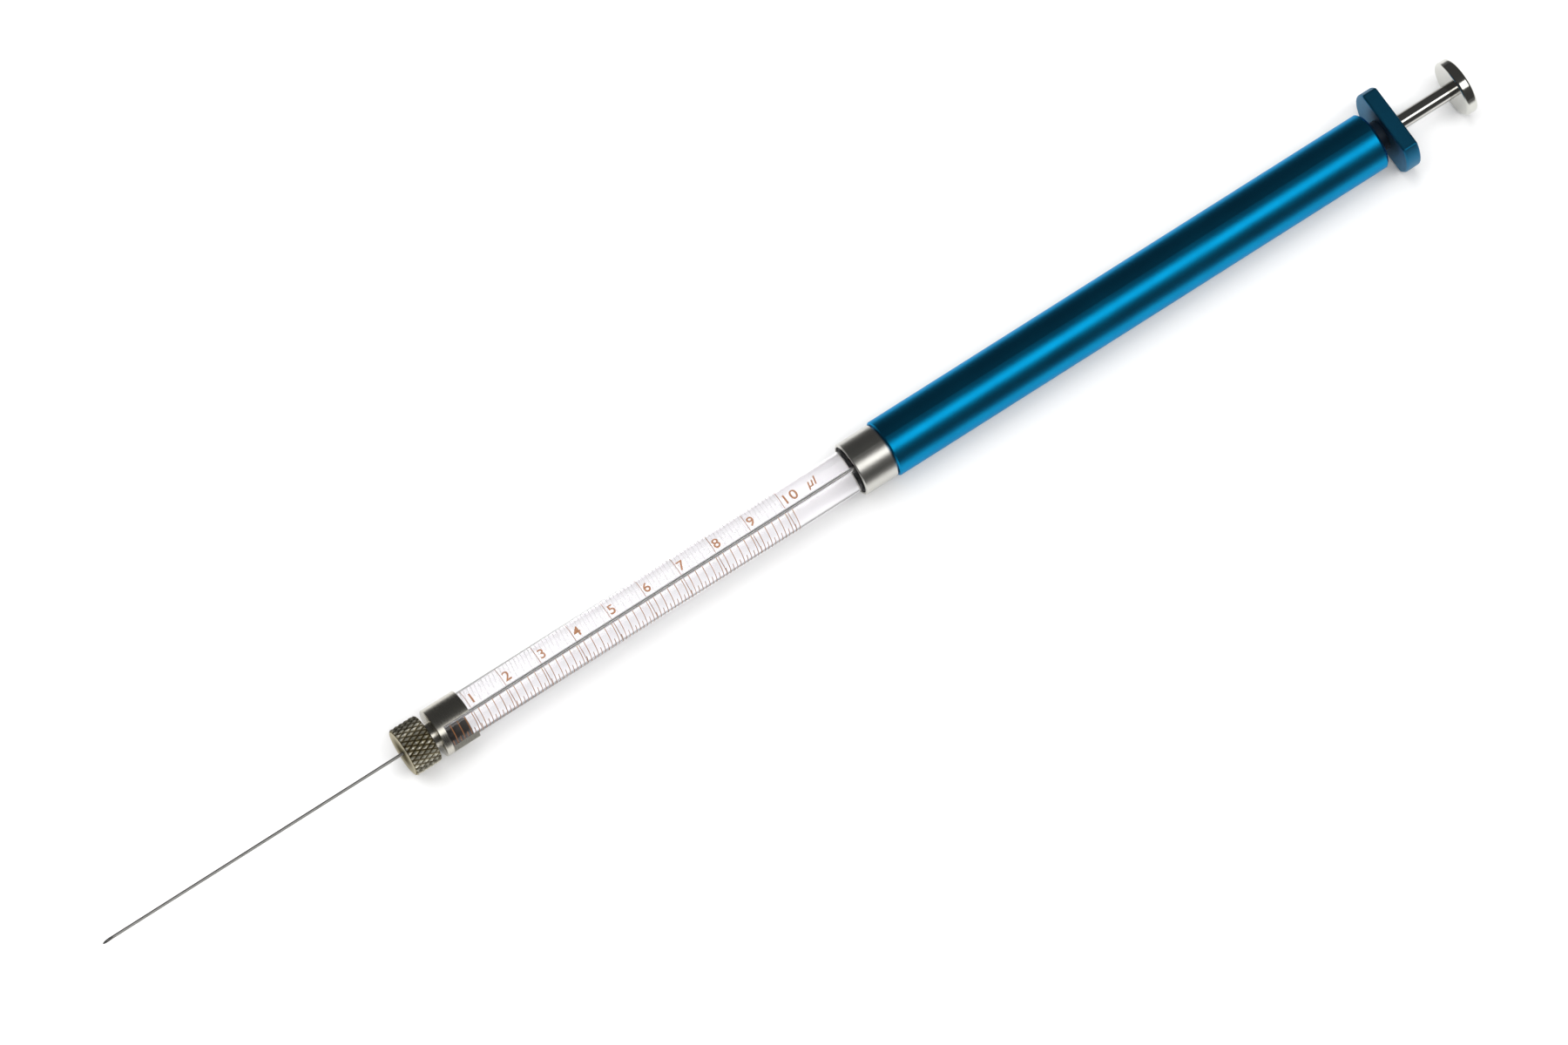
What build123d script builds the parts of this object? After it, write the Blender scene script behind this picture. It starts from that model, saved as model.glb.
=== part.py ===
from build123d import *
import os
from math import cos, pi, radians, tan

os.makedirs("parts", exist_ok=True)

# A 10 microlitre microsyringe with a removable needle and a guided plunger, in millimetres.
# The syringe lies along X, needle tip at -X and plunger button at +X, on its round guide body.
# The plunger is pushed fully in. Stations are distances from the needle tip along the axis.

# Driving dimensions: scale and glass
SCALE_LENGTH = 60.0        # plunger tip at zero to the 10 microlitre mark
SCALE_COUNT = 10           # numbered marks above zero
GLASS_DIA = 6.6
GLASS_BORE = 0.46          # 10 microlitres over the scale's length
GLASS_VISIBLE = 71.1       # from the seat in the ferrule to the collar
GLASS_IN_COLLAR = 10.0
MARK_WIDTH = 0.14
INK_DEPTH = 0.02
MARK_TOP_ANGLE = 21.0      # where a mark starts, from straight up towards -Y
MARK_SWEEP = 45.0          # and how far it runs down the -Y side

# Driving dimensions: removable needle
NEEDLE_EXPOSED = 50.8
NEEDLE_DIA = 0.474
NEEDLE_BORE = 0.127
BEVEL_ANGLE = 15.0
BEVEL_OVERRUN = 1.5        # length of the cut against the bevel's own length
HUB_DIA = 1.9
HUB_FLANGE_DIA = 3.6
HUB_FLANGE = 0.85
SEAL_THICK = 0.9
SEAL_BORE = 0.3

# Driving dimensions: knurled nut
NUT_DIA = 7.6
NUT_LENGTH = 4.3
NUT_WALL = 1.1
NUT_CHAMFER = 0.25
NUT_NEEDLE_HOLE = 0.7
KNURL_COUNT = 28           # grooves each way round the nut
KNURL_ANGLE = 28.0         # of the grooves to the axis
KNURL_DEPTH = 0.28
KNURL_CREST = 0.12         # flat left between two grooves
KNURL_OVERRUN = 0.5        # of the cutter past each end of the nut

# Driving dimensions: front ferrule
FERRULE_DIA = 7.65
FERRULE_LENGTH = 5.5
FERRULE_WALL = 0.8
FERRULE_CHAMFER = 0.12
STUB_DIA = 4.0
STUB_BORE = 2.0
STUB_CHAMFER = 0.2
STUB_ENGAGED = 2.2         # thread engagement in the nut
NECK_GAP = 1.0             # bare stub between nut and ferrule
WINDOW_SETBACK = 1.1       # full ring left in front of the window
WINDOW_START_ANGLE = 15.0  # from straight up towards -Y
WINDOW_SWEEP = 90.0

# Driving dimensions: rear collar
COLLAR_DIA = 8.5
COLLAR_LENGTH = 5.4
COLLAR_CHAMFER = 0.15
SHADOW_GAP = 0.3           # undercut between collar and guide body
SPIGOT_DIA = 7.4
SPIGOT_LENGTH = 5.8
GASKET_DIA = 7.7
GASKET_DEPTH = 1.0
GASKET_RECESS = 0.15
CUSHION_THICK = 1.2

# Driving dimensions: guide body, rear bush and finger flange
BODY_DIA = 9.0
BODY_LENGTH = 86.3
BODY_BORE = 6.2
BODY_EDGE = 0.2
BODY_REAR_CHAMFER = 0.45
BUSH_LENGTH = 7.6
BUSH_RECESS = 0.4
NECK_DIA = 4.7
NECK_LENGTH = 1.6
FLANGE_DIA = 13.2
FLANGE_THICK = 2.5
FLANGE_FLAT = 4.03         # axis to each flat
FLANGE_EDGE = 0.25
RING_SECTION = 0.9
RING_PLACE = 3.5         # ring groove, behind the bush's front face

# Driving dimensions: plunger
WIRE_DIA = 0.44
ROD_DIA = 2.35
ROD_SHOWN = 9.95           # bare rod between flange and button
BUTTON_DIA = 8.9
BUTTON_THICK = 1.8
BUTTON_EDGE = 0.4
BUTTON_SOCKET = 1.1
CHUCK_DIA = 4.4
CHUCK_LENGTH = 5.0
CHUCK_SOCKET = 2.5
CHUCK_CLEARANCE = 1.5      # from the collar's spigot when the plunger is in
SLIDER_LENGTH = 5.0
CLIP_DIA = 4.2
CLIP_THICK = 0.5
CLIP_MOUTH = 1.6
SCREW_DIA = 1.2
SCREW_SLOT = 0.25
SCREW_SLOT_DEPTH = 0.4
SCREW_SUNK = 0.2           # below the chuck's surface

# Clearances
THREAD_PLAY = 0.05         # radial, nut on stub
END_PLAY = 0.05            # axial, between pieces that part when the needle comes off
SLIDE_PLAY = 0.05          # radial, slider in guide body and rod in bush
BOND_LINE = 0.02           # radial, cement between glass and metal
TIP_GAP = 0.1              # plunger tip to the seal when the plunger is in

# Stations
nut_front = NEEDLE_EXPOSED
nut_rear = nut_front + NUT_LENGTH
ferrule_front = nut_rear + NECK_GAP
glass_front = ferrule_front + FERRULE_WALL
zero_station = glass_front + TIP_GAP
ferrule_rear = ferrule_front + FERRULE_LENGTH
stub_front = nut_rear - STUB_ENGAGED
hub_front = nut_front + NUT_WALL + END_PLAY
seal_front = glass_front - SEAL_THICK
hub_rear = seal_front - END_PLAY
collar_front = glass_front + GLASS_VISIBLE
glass_rear = collar_front + GLASS_IN_COLLAR
collar_rear = collar_front + COLLAR_LENGTH
body_front = collar_rear + SHADOW_GAP
spigot_rear = body_front + SPIGOT_LENGTH
body_rear = body_front + BODY_LENGTH
bush_rear = body_rear - BUSH_RECESS
bush_front = bush_rear - BUSH_LENGTH
flange_front = body_rear + NECK_LENGTH
flange_rear = flange_front + FLANGE_THICK
button_front = flange_rear + ROD_SHOWN
overall = button_front + BUTTON_THICK
chuck_front = spigot_rear + CHUCK_CLEARANCE
slider_front = chuck_front + CHUCK_LENGTH
slider_rear = slider_front + SLIDER_LENGTH

# Frame: origin under the middle of the syringe, +Z up, axis at the guide body's radius.
tip_x = -overall / 2
axis_z = BODY_DIA / 2
AXIS = Axis((0, 0, axis_z), (1, 0, 0))
SIDE = Plane(origin=(tip_x, 0, axis_z), x_dir=(1, 0, 0), z_dir=(0, -1, 0))


def across(station):
    """Plane across the axis: local x is +Y, local y is +Z."""
    return Plane(origin=(tip_x + station, 0, axis_z), x_dir=(0, 1, 0), z_dir=(1, 0, 0))


def outline(*points):
    """Closed half section of (station, radius) points, in the open sketch."""
    with BuildLine() as edge:
        Polyline(*points, close=True)
    make_face(edge.edges())


def sleeve(front, rear, inner_dia, outer_dia):
    """Half section of a plain tube, in the open sketch."""
    outline(
        (front, inner_dia / 2),
        (front, outer_dia / 2),
        (rear, outer_dia / 2),
        (rear, inner_dia / 2),
    )


def sector(radius, start_angle, sweep):
    """Slice of a disc in the open sketch, its angles taken from straight up towards -Y."""
    start = Vector(radius, 0).rotate(Axis.Z, 90 + start_angle)
    end = Vector(radius, 0).rotate(Axis.Z, 90 + start_angle + sweep)
    with BuildLine() as edge:
        Line((0, 0), start)
        CenterArc((0, 0), radius, 90 + start_angle, sweep)
        Line(end, (0, 0))
    make_face(edge.edges())


def rims(part, dia):
    """Circular edges of one diameter."""
    circles = part.edges().filter_by(GeomType.CIRCLE)
    return circles.filter_by(lambda edge: abs(edge.radius - dia / 2) < 0.001)


# ---- Needle: drawn stainless tube with a bevelled point, brazed into its hub
bevel_length = NEEDLE_DIA / tan(radians(BEVEL_ANGLE))
cut_top = NEEDLE_DIA * (BEVEL_OVERRUN - 0.5)
with BuildPart() as needle_cannula:
    with BuildSketch(SIDE):
        sleeve(0, hub_rear, NEEDLE_BORE, NEEDLE_DIA)
    revolve(axis=AXIS)
    with BuildSketch(SIDE):
        outline((0, -NEEDLE_DIA / 2), (0, cut_top), (bevel_length * BEVEL_OVERRUN, cut_top))
    extrude(amount=NEEDLE_DIA, both=True, mode=Mode.SUBTRACT)
needle_cannula.part.label = "needle_cannula"
export_step(needle_cannula.part, "parts/needle_cannula.step")

# ---- Needle hub: turned brass bush whose flange the nut's front wall draws back
with BuildPart() as needle_hub:
    with BuildSketch(SIDE):
        outline(
            (hub_front, NEEDLE_DIA / 2),
            (hub_front, HUB_FLANGE_DIA / 2),
            (hub_front + HUB_FLANGE, HUB_FLANGE_DIA / 2),
            (hub_front + HUB_FLANGE, HUB_DIA / 2),
            (hub_rear, HUB_DIA / 2),
            (hub_rear, NEEDLE_DIA / 2),
        )
    revolve(axis=AXIS)
needle_hub.part.label = "needle_hub"
export_step(needle_hub.part, "parts/needle_hub.step")

# ---- Needle seal: soft washer pressed on the end of the glass by the hub
with BuildPart() as needle_seal:
    with BuildSketch(SIDE):
        sleeve(seal_front, glass_front, SEAL_BORE, STUB_BORE - 2 * BOND_LINE)
    revolve(axis=AXIS)
needle_seal.part.label = "needle_seal"
export_step(needle_seal.part, "parts/needle_seal.step")

# ---- Knurl groove: a helical V, the cutter for the nut's diamonds
knurl_pitch = pi * NUT_DIA / KNURL_COUNT
groove_width = knurl_pitch * cos(radians(KNURL_ANGLE)) - KNURL_CREST
knurl_lead = pi * NUT_DIA / tan(radians(KNURL_ANGLE))
groove_run = NUT_LENGTH + 2 * KNURL_OVERRUN
groove_start = nut_front - KNURL_OVERRUN
with BuildPart() as knurl_groove:
    with BuildLine() as groove_path:
        Helix(
            pitch=knurl_lead,
            height=groove_run,
            radius=NUT_DIA / 2,
            center=(tip_x + groove_start, 0, axis_z),
            direction=(1, 0, 0),
        )
    start_point = groove_path.line @ 0
    outward = (start_point - Vector(tip_x + groove_start, 0, axis_z)).normalized()
    along = groove_path.line % 0
    with BuildSketch(Plane(origin=start_point, x_dir=outward, z_dir=along)):
        with BuildLine():
            Polyline(
                (-KNURL_DEPTH, 0),
                (KNURL_DEPTH, groove_width),
                (KNURL_DEPTH, -groove_width),
                close=True,
            )
        make_face()
    sweep(path=groove_path.line, is_frenet=True)
right_groove = knurl_groove.part
left_groove = right_groove.mirror(Plane.XZ)
turns = [360 * step / KNURL_COUNT for step in range(KNURL_COUNT)]

# ---- Needle nut: knurled cap nut, internally threaded, with a clearance hole for the needle
with BuildPart() as needle_nut:
    with BuildSketch(SIDE):
        outline(
            (nut_front, NUT_NEEDLE_HOLE / 2),
            (nut_front, NUT_DIA / 2 - NUT_CHAMFER),
            (nut_front + NUT_CHAMFER, NUT_DIA / 2),
            (nut_rear - NUT_CHAMFER, NUT_DIA / 2),
            (nut_rear, NUT_DIA / 2 - NUT_CHAMFER),
            (nut_rear, STUB_DIA / 2 + THREAD_PLAY),
            (nut_front + NUT_WALL, STUB_DIA / 2 + THREAD_PLAY),
            (nut_front + NUT_WALL, NUT_NEEDLE_HOLE / 2),
        )
    revolve(axis=AXIS)
    add([right_groove.rotate(AXIS, turn) for turn in turns], mode=Mode.SUBTRACT)
    add([left_groove.rotate(AXIS, turn) for turn in turns], mode=Mode.SUBTRACT)
needle_nut.part.label = "needle_nut"
export_step(needle_nut.part, "parts/needle_nut.step")

# ---- Front ferrule: plated sleeve on the glass, with a stub for the nut and a quarter window,
# open at the rear, through which the first graduations are read
with BuildPart() as front_ferrule:
    with BuildSketch(SIDE):
        outline(
            (stub_front, STUB_BORE / 2),
            (stub_front, STUB_DIA / 2),
            (ferrule_front, STUB_DIA / 2),
            (ferrule_front, FERRULE_DIA / 2),
            (ferrule_rear, FERRULE_DIA / 2),
            (ferrule_rear, GLASS_DIA / 2 + BOND_LINE),
            (glass_front, GLASS_DIA / 2 + BOND_LINE),
            (glass_front, STUB_BORE / 2),
        )
    revolve(axis=AXIS)
    chamfer(rims(front_ferrule, FERRULE_DIA).sort_by(Axis.X)[0], FERRULE_CHAMFER)
    chamfer(rims(front_ferrule, STUB_DIA).sort_by(Axis.X)[0], STUB_CHAMFER)
    with BuildSketch(across(ferrule_front + WINDOW_SETBACK)):
        sector(FERRULE_DIA, WINDOW_START_ANGLE, WINDOW_SWEEP)
    extrude(amount=FERRULE_LENGTH, mode=Mode.SUBTRACT)
front_ferrule.part.label = "front_ferrule"
export_step(front_ferrule.part, "parts/front_ferrule.step")

# ---- Glass barrel: precision-bore capillary tube, cemented into ferrule and collar
with BuildPart() as glass_barrel:
    with BuildSketch(SIDE):
        sleeve(glass_front, glass_rear, GLASS_BORE, GLASS_DIA)
    revolve(axis=AXIS)
glass_barrel.part.label = "glass_barrel"
export_step(glass_barrel.part, "parts/glass_barrel.step")

# ---- Scale: the numbered marks, ink fired on the glass
mark_pitch = SCALE_LENGTH / SCALE_COUNT
with BuildPart() as scale_marks:
    for number in range(1, SCALE_COUNT + 1):
        mark_front = zero_station + number * mark_pitch - MARK_WIDTH / 2
        with BuildSketch(across(mark_front)):
            sector(GLASS_DIA / 2 + INK_DEPTH, MARK_TOP_ANGLE, MARK_SWEEP)
            Circle(GLASS_DIA / 2, mode=Mode.SUBTRACT)
        extrude(amount=MARK_WIDTH)
scale_marks.part.label = "scale_marks"
export_step(scale_marks.part, "parts/scale_marks.step")

# ---- Rear collar: plated sleeve cemented on the glass, its spigot pressed into the guide body
with BuildPart() as rear_collar:
    with BuildSketch(SIDE):
        outline(
            (collar_front, GASKET_DIA / 2),
            (collar_front, COLLAR_DIA / 2),
            (collar_rear, COLLAR_DIA / 2),
            (collar_rear, SPIGOT_DIA / 2),
            (spigot_rear, SPIGOT_DIA / 2),
            (spigot_rear, GLASS_DIA / 2 + BOND_LINE),
            (collar_front + GASKET_DEPTH, GLASS_DIA / 2 + BOND_LINE),
            (collar_front + GASKET_DEPTH, GASKET_DIA / 2),
        )
    revolve(axis=AXIS)
    chamfer(rims(rear_collar, COLLAR_DIA).sort_by(Axis.X)[0], COLLAR_CHAMFER)
rear_collar.part.label = "rear_collar"
export_step(rear_collar.part, "parts/rear_collar.step")

# ---- Collar gasket: dark ring that seals the glass where it enters the collar
with BuildPart() as collar_gasket:
    with BuildSketch(SIDE):
        sleeve(
            collar_front + GASKET_RECESS,
            collar_front + GASKET_DEPTH,
            GLASS_DIA + 2 * BOND_LINE,
            GASKET_DIA - 2 * BOND_LINE,
        )
    revolve(axis=AXIS)
collar_gasket.part.label = "collar_gasket"
export_step(collar_gasket.part, "parts/collar_gasket.step")

# ---- Glass cushion: washer behind the glass that also centres the plunger wire
with BuildPart() as glass_cushion:
    with BuildSketch(SIDE):
        sleeve(glass_rear, glass_rear + CUSHION_THICK, WIRE_DIA + 2 * SLIDE_PLAY, GLASS_DIA)
    revolve(axis=AXIS)
glass_cushion.part.label = "glass_cushion"
export_step(glass_cushion.part, "parts/glass_cushion.step")

# ---- Guide body: anodised tube that carries the collar, the slider's bore and the rear bush
with BuildPart() as guide_body:
    with BuildSketch(SIDE):
        outline(
            (body_front, SPIGOT_DIA / 2),
            (body_front, BODY_DIA / 2),
            (body_rear, BODY_DIA / 2),
            (body_rear, SPIGOT_DIA / 2),
            (bush_front, SPIGOT_DIA / 2),
            (bush_front, BODY_BORE / 2),
            (spigot_rear, BODY_BORE / 2),
            (spigot_rear, SPIGOT_DIA / 2),
        )
    revolve(axis=AXIS)
    outer_rims = rims(guide_body, BODY_DIA).sort_by(Axis.X)
    chamfer(outer_rims[0], BODY_EDGE)
    chamfer(outer_rims[-1], BODY_REAR_CHAMFER)
guide_body.part.label = "guide_body"
export_step(guide_body.part, "parts/guide_body.step")

# ---- Rod bush: turned bush pressed into the guide body, its neck carrying the finger flange
ring_front = bush_front + RING_PLACE
ring_groove = RING_SECTION + 2 * SLIDE_PLAY
ring_start = ring_front + SLIDE_PLAY
ring_bore = ROD_DIA + 2 * BOND_LINE
rod_hole = ROD_DIA / 2 + SLIDE_PLAY
groove_floor = ring_bore / 2 + RING_SECTION + BOND_LINE
with BuildPart() as rod_bush:
    with BuildSketch(SIDE):
        outline(
            (bush_front, rod_hole),
            (bush_front, SPIGOT_DIA / 2),
            (bush_rear, SPIGOT_DIA / 2),
            (bush_rear, NECK_DIA / 2),
            (flange_rear, NECK_DIA / 2),
            (flange_rear, rod_hole),
            (ring_front + ring_groove, rod_hole),
            (ring_front + ring_groove, groove_floor),
            (ring_front, groove_floor),
            (ring_front, rod_hole),
        )
    revolve(axis=AXIS)
rod_bush.part.label = "rod_bush"
export_step(rod_bush.part, "parts/rod_bush.step")

# ---- Rod ring: square-section rubber ring that steadies the plunger and holds it where it is put
with BuildPart() as rod_ring:
    with BuildSketch(SIDE):
        sleeve(ring_start, ring_start + RING_SECTION, ring_bore, ring_bore + 2 * RING_SECTION)
    revolve(axis=AXIS)
rod_ring.part.label = "rod_ring"
export_step(rod_ring.part, "parts/rod_ring.step")

# ---- Finger flange: anodised disc with two flats, pressed on the bush's neck
with BuildPart() as finger_flange:
    with BuildSketch(across(flange_front)):
        Circle(FLANGE_DIA / 2)
        Rectangle(FLANGE_DIA, 2 * FLANGE_FLAT, mode=Mode.INTERSECT)
    extrude(amount=FLANGE_THICK)
    end_faces = finger_flange.faces().filter_by(Axis.X)
    chamfer(end_faces.edges(), FLANGE_EDGE)
    with BuildSketch(across(flange_front)):
        Circle(NECK_DIA / 2)
    extrude(amount=FLANGE_THICK, mode=Mode.SUBTRACT)
finger_flange.part.label = "finger_flange"
export_step(finger_flange.part, "parts/finger_flange.step")

# ---- Plunger wire: ground wire that fits the glass bore
with BuildPart() as plunger_wire:
    with BuildSketch(across(zero_station)):
        Circle(WIRE_DIA / 2)
    extrude(amount=chuck_front + CHUCK_LENGTH - CHUCK_SOCKET - zero_station)
plunger_wire.part.label = "plunger_wire"
export_step(plunger_wire.part, "parts/plunger_wire.step")

# ---- Wire chuck: turned bush that joins the wire to the rod
screw_place = chuck_front + CHUCK_LENGTH - CHUCK_SOCKET - SCREW_DIA
with BuildPart() as wire_chuck:
    with BuildSketch(SIDE):
        outline(
            (chuck_front, WIRE_DIA / 2),
            (chuck_front, CHUCK_DIA / 2),
            (slider_front, CHUCK_DIA / 2),
            (slider_front, ROD_DIA / 2),
            (slider_front - CHUCK_SOCKET, ROD_DIA / 2),
            (slider_front - CHUCK_SOCKET, WIRE_DIA / 2),
        )
    revolve(axis=AXIS)
    with BuildSketch(Plane.XY.offset(axis_z)):
        with Locations((tip_x + screw_place, 0)):
            Circle(SCREW_DIA / 2)
    extrude(amount=CHUCK_DIA, mode=Mode.SUBTRACT)
wire_chuck.part.label = "wire_chuck"
export_step(wire_chuck.part, "parts/wire_chuck.step")

# ---- Chuck screw: slotted grub screw that clamps the wire
screw_length = CHUCK_DIA / 2 - WIRE_DIA / 2 - SCREW_SUNK
with BuildPart() as chuck_screw:
    with BuildSketch(Plane.XY.offset(axis_z + WIRE_DIA / 2)):
        with Locations((tip_x + screw_place, 0)):
            Circle(SCREW_DIA / 2)
    extrude(amount=screw_length)
    with BuildSketch(Plane.XY.offset(axis_z + WIRE_DIA / 2 + screw_length)):
        with Locations((tip_x + screw_place, 0)):
            Rectangle(SCREW_SLOT, SCREW_DIA)
    extrude(amount=-SCREW_SLOT_DEPTH, mode=Mode.SUBTRACT)
chuck_screw.part.label = "chuck_screw"
export_step(chuck_screw.part, "parts/chuck_screw.step")

# ---- Slider: low-friction bush on the rod that runs in the guide body's bore
with BuildPart() as guide_slider:
    with BuildSketch(SIDE):
        sleeve(slider_front, slider_rear, ROD_DIA, BODY_BORE - 2 * SLIDE_PLAY)
    revolve(axis=AXIS)
guide_slider.part.label = "guide_slider"
export_step(guide_slider.part, "parts/guide_slider.step")

# ---- Slider clip: split spring ring that keeps the slider on the rod
with BuildPart() as slider_clip:
    with BuildSketch(across(slider_rear)):
        Circle(CLIP_DIA / 2)
        Circle(ROD_DIA / 2, mode=Mode.SUBTRACT)
        with Locations((0, CLIP_DIA / 2)):
            Rectangle(CLIP_MOUTH, CLIP_DIA, mode=Mode.SUBTRACT)
    extrude(amount=CLIP_THICK)
slider_clip.part.label = "slider_clip"
export_step(slider_clip.part, "parts/slider_clip.step")

# ---- Plunger rod: ground stainless rod from the chuck to the button
with BuildPart() as plunger_rod:
    with BuildSketch(across(slider_front - CHUCK_SOCKET)):
        Circle(ROD_DIA / 2)
    extrude(amount=button_front + BUTTON_SOCKET - slider_front + CHUCK_SOCKET)
plunger_rod.part.label = "plunger_rod"
export_step(plunger_rod.part, "parts/plunger_rod.step")

# ---- Button: turned thumb disc pressed on the end of the rod
with BuildPart() as plunger_button:
    with BuildSketch(across(button_front)):
        Circle(BUTTON_DIA / 2)
    extrude(amount=BUTTON_THICK)
    chamfer(plunger_button.edges().filter_by(GeomType.CIRCLE), BUTTON_EDGE)
    with BuildSketch(across(button_front)):
        Circle(ROD_DIA / 2)
    extrude(amount=BUTTON_SOCKET, mode=Mode.SUBTRACT)
plunger_button.part.label = "plunger_button"
export_step(plunger_button.part, "parts/plunger_button.step")
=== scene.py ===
import math
import bmesh
import bpy
from mathutils import Matrix, Vector


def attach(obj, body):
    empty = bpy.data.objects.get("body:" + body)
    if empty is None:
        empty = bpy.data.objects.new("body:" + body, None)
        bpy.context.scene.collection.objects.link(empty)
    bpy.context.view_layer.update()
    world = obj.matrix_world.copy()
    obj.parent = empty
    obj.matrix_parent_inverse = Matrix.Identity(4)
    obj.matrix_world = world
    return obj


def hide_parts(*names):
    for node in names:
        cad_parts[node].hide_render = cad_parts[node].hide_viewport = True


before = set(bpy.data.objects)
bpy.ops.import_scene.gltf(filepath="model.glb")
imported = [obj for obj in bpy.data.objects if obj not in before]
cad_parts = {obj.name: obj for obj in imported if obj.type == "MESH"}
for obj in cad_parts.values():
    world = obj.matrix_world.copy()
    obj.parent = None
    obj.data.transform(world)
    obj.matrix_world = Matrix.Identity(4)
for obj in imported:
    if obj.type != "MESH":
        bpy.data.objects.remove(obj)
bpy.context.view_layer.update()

# ---- Camera: a long lens a metre and a half away, high on the scale's side. The frame is level,
# and the syringe runs up across it from its needle at the left to its button at the right.
camera_turn = math.radians(-34.02)
camera_rise = math.radians(69.75)
camera_distance = 1.438
camera_target = Vector((-0.002387, -0.0013, 0.0045))
camera_back = Vector((
    math.sin(camera_turn) * math.cos(camera_rise),
    -math.cos(camera_turn) * math.cos(camera_rise),
    math.sin(camera_rise),
))
camera_right = Vector((math.cos(camera_turn), math.sin(camera_turn), 0))
camera_up = camera_back.cross(camera_right)
lens = bpy.data.cameras.new("long_lens")
lens.lens = 229.5
lens.sensor_width = 36
lens.clip_end = 20
camera = bpy.data.objects.new("camera", lens)
placing = Matrix((camera_right, camera_up, camera_back)).transposed().to_4x4()
placing.translation = camera_target + camera_back * camera_distance
camera.matrix_world = placing
bpy.context.collection.objects.link(camera)
bpy.context.scene.camera = camera
bpy.context.scene.view_settings.view_transform = "Standard"

# ---- Table: a plain white sweep, wide enough to reach past every view of the syringe.
# It is matt, so it only takes the soft shadow under the parts that stand off it. What glass and
# metal mirror of it is painted darker towards the horizon: painted shade, standing in for a sweep
# lit only in its middle.
table_half = 5.0
table_white = 0.86
painted_horizon_shade = 0.08
glancing_start = 0.6
glancing_end = 0.8


def new_material(name, colour, metallic, roughness):
    """A Principled material: its shader's sockets take whatever is the same all over."""
    material = bpy.data.materials.new(name)
    material.use_nodes = True
    shader = material.node_tree.nodes["Principled BSDF"]
    shader.inputs["Base Color"].default_value = (*colour, 1)
    shader.inputs["Metallic"].default_value = metallic
    shader.inputs["Roughness"].default_value = roughness
    return material, material.node_tree, shader


def new_piece(name, vertices, faces, material):
    """A mesh object at the origin, with its place in its own vertices."""
    mesh = bpy.data.meshes.new(name)
    mesh.from_pydata(vertices, [], faces)
    mesh.materials.append(material)
    piece = bpy.data.objects.new(name, mesh)
    bpy.context.collection.objects.link(piece)
    return piece


table_paint, tree, shader = new_material("table_paint", (table_white,) * 3, 0, 0.9)
# painted shade: for mirrored rays the table's colour falls from white to dark as it is seen more
# glancingly
slant = tree.nodes.new("ShaderNodeLayerWeight")
falloff = tree.nodes.new("ShaderNodeMapRange")
for label, number in (("From Min", glancing_start), ("From Max", glancing_end),
                      ("To Min", table_white), ("To Max", painted_horizon_shade)):
    falloff.inputs[label].default_value = number
path = tree.nodes.new("ShaderNodeLightPath")
mirrored_only = tree.nodes.new("ShaderNodeMath")
mirrored_only.operation = "SUBTRACT"
tree.links.new(slant.outputs["Facing"], mirrored_only.inputs[0])
tree.links.new(path.outputs["Is Camera Ray"], mirrored_only.inputs[1])
tree.links.new(mirrored_only.outputs[0], falloff.inputs["Value"])
tree.links.new(falloff.outputs["Result"], shader.inputs["Base Color"])
table = new_piece(
    "table",
    [(x, y, 0) for x, y in ((-1, -1), (1, -1), (1, 1), (-1, 1))],
    [(0, 1, 2, 3)],
    table_paint,
)
for vertex in table.data.vertices:
    vertex.co *= table_half

# ---- Studio: one long soft box high over the scale's side, which draws the bright line along
# every turned part, wide fills from both sides that metal doesn't mirror, and a dim room.
room_glow = 0.06
room_pale = 0.95
scale_side = (0.194, -0.430, 0.881)
far_side = (-0.15, 0.5, 0.85)


def soft_box(name, direction, distance, width, length, radiance, mirrored=True, passed=True):
    """A rectangular light that faces the syringe; its length lies along X where it can.
    Metal mirrors it and glass passes it on to the table, unless told otherwise."""
    glow = bpy.data.lights.new(name, "AREA")
    glow.shape = "RECTANGLE"
    glow.size = length
    glow.size_y = width
    glow.energy = radiance * math.pi * width * length
    lamp = bpy.data.objects.new(name, glow)
    back = Vector(direction).normalized()
    across = Vector((0, 1, 0)) if abs(back.y) < 0.1 else back.cross(Vector((1, 0, 0)))
    along = across.normalized().cross(back)
    across = back.cross(along)
    place = Matrix((along, across, back)).transposed().to_4x4()
    place.translation = back * distance
    lamp.matrix_world = place
    lamp.visible_glossy = mirrored
    lamp.visible_camera = mirrored
    lamp.visible_transmission = passed
    bpy.context.collection.objects.link(lamp)


soft_box("scale_side_box", scale_side, distance=2.9, width=1.3, length=3.6, radiance=2.2)
soft_box("scale_side_fill", scale_side, distance=3.0, width=2.2, length=3.6, radiance=2.2,
         mirrored=False)
soft_box("far_side_fill", far_side, distance=3.1, width=4.0, length=4.0, radiance=2.65,
         mirrored=False, passed=False)

world = bpy.data.worlds.new("room")
bpy.context.scene.world = world
world.use_nodes = True
room = world.node_tree
room_light = room.nodes["Background"]
path = room.nodes.new("ShaderNodeLightPath")
seen = room.nodes.new("ShaderNodeMath")
seen.operation = "MAXIMUM"
strength = room.nodes.new("ShaderNodeMapRange")
strength.inputs["To Min"].default_value = room_glow
strength.inputs["To Max"].default_value = room_pale
room_light.inputs["Color"].default_value = (1, 1, 1, 1)
room.links.new(path.outputs["Is Camera Ray"], seen.inputs[0])
room.links.new(path.outputs["Is Transmission Ray"], seen.inputs[1])
room.links.new(seen.outputs["Value"], strength.inputs["Value"])
room.links.new(strength.outputs["Result"], room_light.inputs["Strength"])

# ---- Needle: drawn stainless tube, its point ground to a bevel. Drawing leaves fine lines
# along it, and the tube is brazed into a small turned hub that the nut hides.
tip_x = -0.117925
axis_z = 0.0045


def station(distance):
    """X of a place given in millimetres from the needle's point."""
    return tip_x + distance / 1000


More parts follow.
